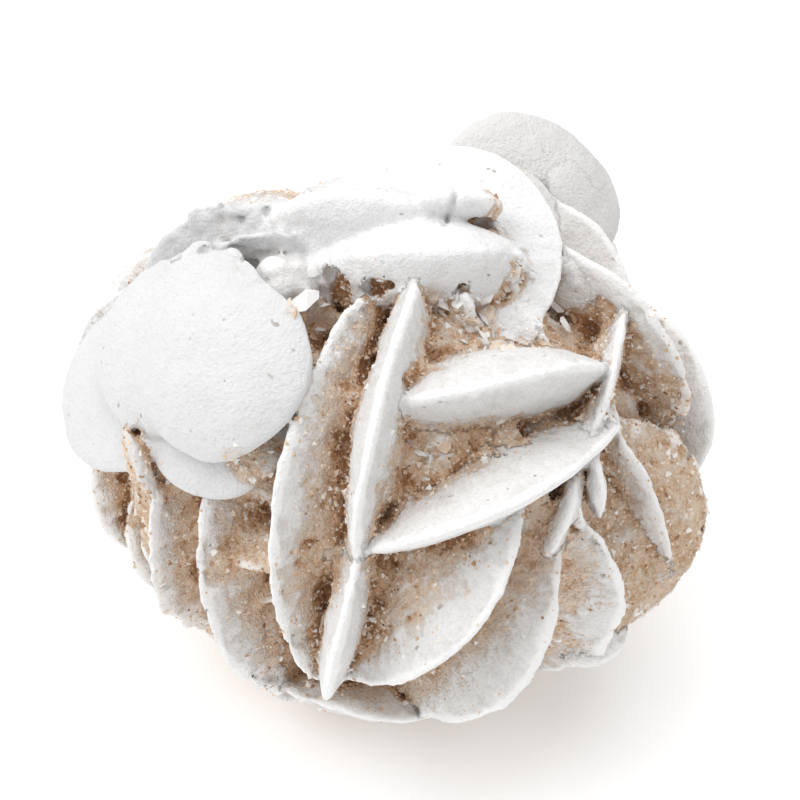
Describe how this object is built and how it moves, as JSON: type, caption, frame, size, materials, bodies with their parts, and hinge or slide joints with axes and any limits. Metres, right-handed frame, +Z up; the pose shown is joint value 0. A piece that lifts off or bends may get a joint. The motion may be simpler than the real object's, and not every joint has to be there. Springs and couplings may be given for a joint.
{
  "type": "gypsum sand rose",
  "caption": "Rounded desert rose cluster of lens-shaped gypsum blades crossing at all angles in cemented sand, worn flat underneath so that it rests.",
  "frame": {"origin": "on the surface it rests on, under the middle of its bounding box", "axes": "+Z up, out of the worn resting face; -Y towards the front, where the fan of long blades is; +X towards the side of the broad disc"},
  "size_m": [0.0635, 0.0663, 0.0567],
  "materials": {
    "sandy_gypsum": "chalky, with tan sand grains cemented in the crevices between the blades"
  },
  "bodies": {
    "root": {"sand_rose": "sandy_gypsum"}
  },
  "joints": []
}
